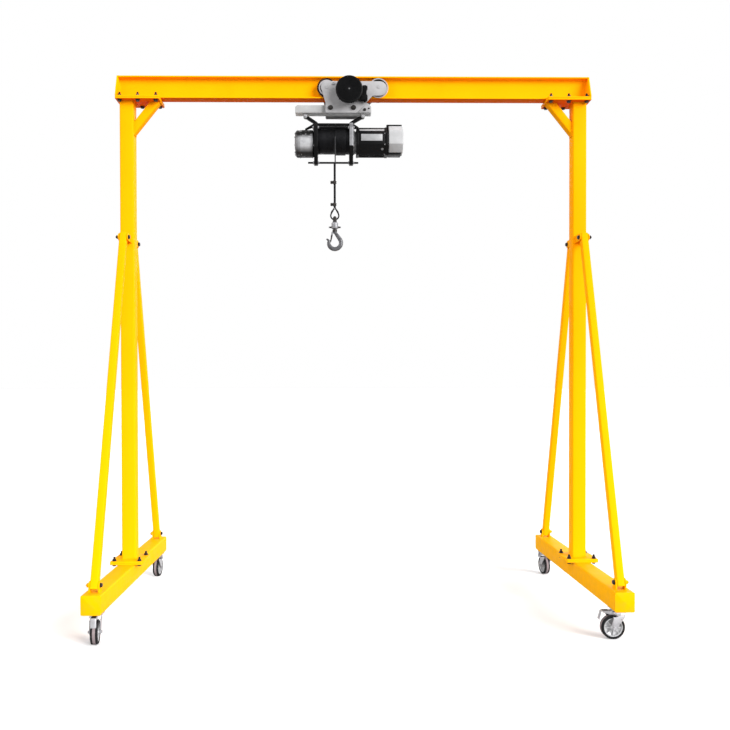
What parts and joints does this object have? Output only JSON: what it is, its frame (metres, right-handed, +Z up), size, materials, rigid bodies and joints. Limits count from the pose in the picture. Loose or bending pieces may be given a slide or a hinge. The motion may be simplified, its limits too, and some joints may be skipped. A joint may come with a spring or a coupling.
{
  "type": "gantry crane",
  "caption": "Portable A-frame gantry crane on swivel casters, with an I-beam track, a motor trolley and a wire rope hoist with a latched hook.",
  "frame": {"origin": "on the floor, under the middle of the beam", "axes": "+X along the beam, -Y towards the front of the hoist, +Z up"},
  "size_m": [3.53, 1.9422, 3.858],
  "materials": {
    "yellow_paint": "gloss enamel",
    "zinc_steel": "bright zinc plate",
    "dark_bolt": "black oxide",
    "tyre_rubber": "moulded",
    "cast_aluminium": "cast",
    "grey_paint": "satin enamel",
    "light_grey_paint": "satin enamel",
    "black_paint": "satin enamel",
    "black_cast": "painted casting",
    "steel_rope": "greased wire rope",
    "forged_steel": "forged"
  },
  "bodies": {
    "frame": {"base_end_caps": "yellow_paint", "base_seat_plates": "yellow_paint", "beam_end_plates": "yellow_paint", "beam_seat_plates": "yellow_paint", "brace_foot_lugs": "yellow_paint", "brace_pins": "dark_bolt", "brace_top_lugs": "yellow_paint", "caster_mount_plates": "zinc_steel", "column_foot_plates": "yellow_paint", "column_head_plates": "yellow_paint", "left_base_beam": "yellow_paint", "left_column": "yellow_paint", "left_front_brace": "yellow_paint", "left_knee_brace": "yellow_paint", "left_rear_brace": "yellow_paint", "main_beam": "yellow_paint", "right_base_beam": "yellow_paint", "right_column": "yellow_paint", "right_front_brace": "yellow_paint", "right_knee_brace": "yellow_paint", "right_rear_brace": "yellow_paint"},
    "trolley": {"trolley_front_plate": "grey_paint", "trolley_rear_plate": "grey_paint", "trolley_bolts": "dark_bolt", "trolley_motor": "black_paint", "trolley_terminal_box": "black_paint", "suspension_bar": "light_grey_paint", "hoist_frames": "black_cast", "hoist_tie_rods": "black_cast", "hoist_gearbox": "cast_aluminium", "hoist_motor_flange": "cast_aluminium", "hoist_motor": "black_paint", "hoist_fan_cover": "light_grey_paint", "hoist_hangers": "black_cast", "hoist_rope": "steel_rope"},
    "drum": {"rope_drum": "black_cast"},
    "hook_block": {"rope_end": "steel_rope", "rope_clips": "dark_bolt", "hook_swivel_block": "zinc_steel"},
    "hook": {"hook": "forged_steel"},
    "latch": {"hook_latch": "dark_bolt"},
    "trolley_wheel_front_left": {"trolley_wheel_front_left": "forged_steel"},
    "trolley_wheel_front_right": {"trolley_wheel_front_right": "forged_steel"},
    "trolley_wheel_rear_left": {"trolley_wheel_rear_left": "forged_steel"},
    "trolley_wheel_rear_right": {"trolley_wheel_rear_right": "forged_steel"},
    "left_front_caster_swivel": {"left_front_caster_fork": "zinc_steel"},
    "left_front_caster_wheel": {"left_front_caster_tyre": "tyre_rubber", "left_front_caster_hub": "cast_aluminium"},
    "left_rear_caster_swivel": {"left_rear_caster_fork": "zinc_steel"},
    "left_rear_caster_wheel": {"left_rear_caster_tyre": "tyre_rubber", "left_rear_caster_hub": "cast_aluminium"},
    "right_front_caster_swivel": {"right_front_caster_fork": "zinc_steel"},
    "right_front_caster_wheel": {"right_front_caster_tyre": "tyre_rubber", "right_front_caster_hub": "cast_aluminium"},
    "right_rear_caster_swivel": {"right_rear_caster_fork": "zinc_steel"},
    "right_rear_caster_wheel": {"right_rear_caster_tyre": "tyre_rubber", "right_rear_caster_hub": "cast_aluminium"}
  },
  "joints": [
    {"name": "trolley_travel", "type": "slide", "parent": "frame", "child": "trolley", "axis": [1, 0, 0], "range_m": [-0.9, 1.05]},
    {"name": "hook_lift", "type": "slide", "parent": "trolley", "child": "hook_block", "axis": [0, 0, 1], "range_m": [-2.45, 0.1], "deforming": ["hoist_rope"]},
    {"name": "drum_turn", "type": "hinge", "parent": "trolley", "child": "drum", "pos_m": [-0.15, 0, 3.401], "axis": [1, 0, 0], "range_deg": [-80, 1500]},
    {"name": "hook_swivel", "type": "hinge", "parent": "hook_block", "child": "hook", "pos_m": [-0.142, -0.1003, 2.712], "axis": [0, 0, 1], "continuous": true},
    {"name": "hook_latch_hinge", "type": "hinge", "parent": "hook", "child": "latch", "pos_m": [-0.16, -0.1003, 2.712], "axis": [0, -1, 0], "range_deg": [0, 36], "stiffness_Nm_per_rad": 0.2, "springref_deg": -28.65},
    {"name": "trolley_wheel_front_left_turn", "type": "hinge", "parent": "trolley", "child": "trolley_wheel_front_left", "pos_m": [-0.199, -0.04, 3.7703], "axis": [0, 1, 0], "range_deg": [-900, 1000]},
    {"name": "trolley_wheel_front_right_turn", "type": "hinge", "parent": "trolley", "child": "trolley_wheel_front_right", "pos_m": [0.178, -0.04, 3.7703], "axis": [0, 1, 0], "range_deg": [-900, 1000]},
    {"name": "trolley_wheel_rear_left_turn", "type": "hinge", "parent": "trolley", "child": "trolley_wheel_rear_left", "pos_m": [-0.199, 0.04, 3.7703], "axis": [0, 1, 0], "range_deg": [-900, 1000]},
    {"name": "trolley_wheel_rear_right_turn", "type": "hinge", "parent": "trolley", "child": "trolley_wheel_rear_right", "pos_m": [0.178, 0.04, 3.7703], "axis": [0, 1, 0], "range_deg": [-900, 1000]},
    {"name": "left_front_caster_swivel", "type": "hinge", "parent": "frame", "child": "left_front_caster_swivel", "pos_m": [-1.65, -0.84, 0.17], "axis": [0, 0, 1], "continuous": true},
    {"name": "left_front_caster_roll", "type": "hinge", "parent": "left_front_caster_swivel", "child": "left_front_caster_wheel", "pos_m": [-1.6439, -0.87852, 0.075], "axis": [-0.9877, -0.1564, 0], "continuous": true},
    {"name": "left_rear_caster_swivel", "type": "hinge", "parent": "frame", "child": "left_rear_caster_swivel", "pos_m": [-1.65, 0.84, 0.17], "axis": [0, 0, 1], "continuous": true},
    {"name": "left_rear_caster_roll", "type": "hinge", "parent": "left_rear_caster_swivel", "child": "left_rear_caster_wheel", "pos_m": [-1.6466, 0.87885, 0.075], "axis": [0.9962, -0.0872, 0], "continuous": true},
    {"name": "right_front_caster_swivel", "type": "hinge", "parent": "frame", "child": "right_front_caster_swivel", "pos_m": [1.65, -0.84, 0.17], "axis": [0, 0, 1], "continuous": true},
    {"name": "right_front_caster_roll", "type": "hinge", "parent": "right_front_caster_swivel", "child": "right_front_caster_wheel", "pos_m": [1.611, -0.84, 0.075], "axis": [0, 1, 0], "continuous": true},
    {"name": "right_rear_caster_swivel", "type": "hinge", "parent": "frame", "child": "right_rear_caster_swivel", "pos_m": [1.65, 0.84, 0.17], "axis": [0, 0, 1], "continuous": true},
    {"name": "right_rear_caster_roll", "type": "hinge", "parent": "right_rear_caster_swivel", "child": "right_rear_caster_wheel", "pos_m": [1.6439, 0.87852, 0.075], "axis": [0.9877, 0.1564, 0], "continuous": true}
  ],
  "couplings": [
    {"joint": "drum_turn", "follows": "hook_lift", "rad_per_m": -9.9701},
    {"joint": "trolley_wheel_front_left_turn", "follows": "trolley_travel", "rad_per_m": 16.129},
    {"joint": "trolley_wheel_front_right_turn", "follows": "trolley_travel", "rad_per_m": 16.129},
    {"joint": "trolley_wheel_rear_left_turn", "follows": "trolley_travel", "rad_per_m": 16.129},
    {"joint": "trolley_wheel_rear_right_turn", "follows": "trolley_travel", "rad_per_m": 16.129}
  ]
}
